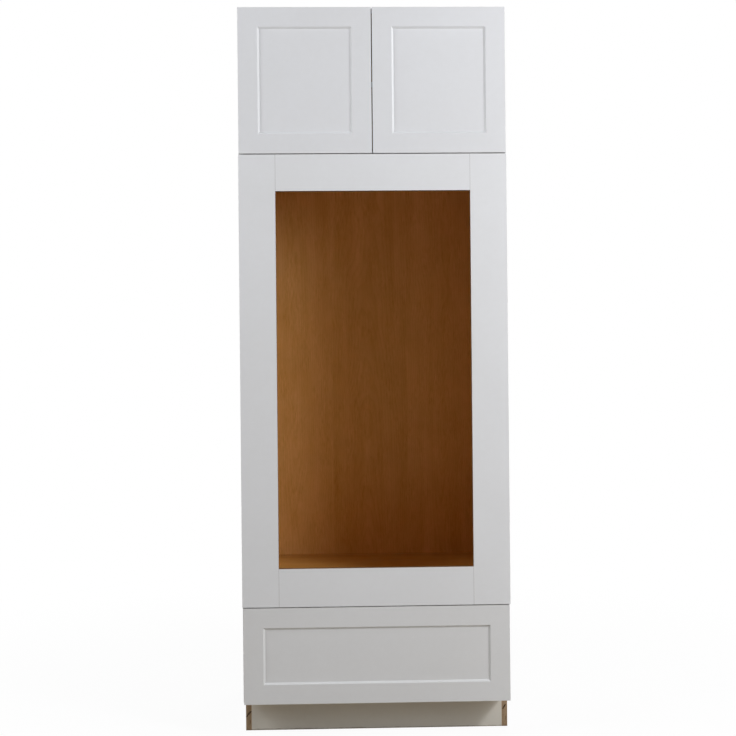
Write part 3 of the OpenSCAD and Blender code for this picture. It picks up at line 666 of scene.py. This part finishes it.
def floor_material():
    """Pale floor that throws a warm light back at the cabinet. It is seen near white round the
    cabinet, and white further out."""
    g = Graph("floor")
    seen = looking_rays(g.tree)
    warm = g.mix(g.spread(g.noise(g.place, scale=2.0)), *FLOOR_WARM)
    g.finish(g.mix(seen, warm, FLOOR_SEEN), FLOOR_ROUGH, Specular_IOR_Level=0.2)
    share = g.span(g.length(g.p[X], g.p[Y]), NEAR_R, FAR_R, NEAR_GLOW, 1.0, smooth=True)
    glow = g.node("Emission", {"Color": PLAIN})
    both = g.node("MixShader", {0: g.times(seen, share), 1: g.shader.outputs[0], 2: glow})
    g.tree.links.new(both, g.out.inputs["Surface"])
    return g.mat


def make_floor():
    mesh = bpy.data.meshes.new("floor")
    h = FLOOR_SIZE / 2
    mesh.from_pydata([(-h, -h, 0), (h, -h, 0), (h, h, 0), (-h, h, 0)], [], [(0, 1, 2, 3)])
    made = bpy.data.objects.new("floor", mesh)
    bpy.context.scene.collection.objects.link(made)
    mesh.materials.append(floor_material())


def make_world():
    """White backdrop that gives no light of its own."""
    world = bpy.data.worlds.new("studio")
    bpy.context.scene.world = world
    world.use_nodes = True
    tree = world.node_tree
    tree.nodes.clear()
    out = tree.nodes.new("ShaderNodeOutputWorld")
    white = tree.nodes.new("ShaderNodeBackground")
    white.inputs["Color"].default_value = (1, 1, 1, 1)
    tree.links.new(looking_rays(tree), white.inputs["Strength"])
    tree.links.new(white.outputs[0], out.inputs["Surface"])


# Lamps and camera

COOL = (0.966, 0.977, 1.0)
WARM = (1.0, 0.992, 0.98)

# Azimuth in degrees, distance, height, height of the aim, size, power in watts, and colour
LAMPS = {
    "near": (55, 3.9, 3.4, 1.7, (0.8, 1.0), 89.0, COOL),
    "window": (46, 3.9, 2.0, 2.0, (1.4, 1.4), 25.5, COOL),
    "slit": (49, 2.8, 1.95, 2.1, (0.5, 1.0), 16.0, COOL),
    "low": (60, 3.9, 1.1, 1.0, (1.6, 1.4), 11.0, COOL),
    "fill": (-65, 2.8, 2.6, 1.9, (1.0, 1.0), 28.0, COOL),
    "side": (-72, 3.7, 2.3, 1.2, (1.6, 1.6), 24.0, COOL),
    "over": (180, 0.75, 4.4, 0.0, (1.2, 0.8), 26.0, COOL),
    "rear_right": (160, 3.9, 2.6, 1.2, (1.6, 1.6), 52.0, WARM),
    "rear_left": (-145, 3.9, 2.6, 1.2, (1.6, 1.6), 35.0, COOL),
}

# The photograph's camera, solved from the cabinet's straight edges
CAMERA_PLACE = (-0.106, -3.809, 1.153)
YAW, PITCH, ROLL = (math.radians(degrees) for degrees in (-1.40, 0.04, 0.55))
FOCAL_PX = 1120.8
FRAME_PX = 736
SENSOR = 36.0


def softbox(name, azimuth, distance, height, aim, size, power, colour):
    """Area lamp round the middle of the cabinet's front, with its azimuth towards the right."""
    turn = math.radians(azimuth)
    front = cad_box[0][Y]
    place = Vector((distance * math.sin(turn), front - distance * math.cos(turn), height))
    data = bpy.data.lights.new(name, "AREA")
    data.shape = "RECTANGLE"
    data.size, data.size_y = size
    data.energy = power
    data.color = colour
    made = bpy.data.objects.new(name, data)
    made.location = place
    made.rotation_mode = "QUATERNION"
    made.rotation_quaternion = (Vector((0.0, front, aim)) - place).to_track_quat("-Z", "Y")
    made.visible_camera = False
    bpy.context.scene.collection.objects.link(made)


def make_camera():
    upright = Vector((0, 0, 1))
    level_right = Vector((math.cos(YAW), math.sin(YAW), 0))
    level_ahead = Vector((-math.sin(YAW), math.cos(YAW), 0))
    ahead = math.cos(PITCH) * level_ahead + math.sin(PITCH) * upright
    level_up = -math.sin(PITCH) * level_ahead + math.cos(PITCH) * upright
    right = math.cos(ROLL) * level_right - math.sin(ROLL) * level_up
    up = math.sin(ROLL) * level_right + math.cos(ROLL) * level_up
    data = bpy.data.cameras.new("camera")
    data.sensor_fit = "HORIZONTAL"
    data.sensor_width = SENSOR
    data.lens = SENSOR * FOCAL_PX / FRAME_PX
    made = bpy.data.objects.new("camera", data)
    bpy.context.scene.collection.objects.link(made)
    turn = Matrix((right, up, -ahead)).transposed().to_4x4()
    made.matrix_world = Matrix.Translation(CAMERA_PLACE) @ turn
    bpy.context.scene.camera = made


make_floor()
make_world()
for name, values in LAMPS.items():
    softbox(name, *values)
make_camera()
bpy.context.scene.view_settings.view_transform = "Standard"
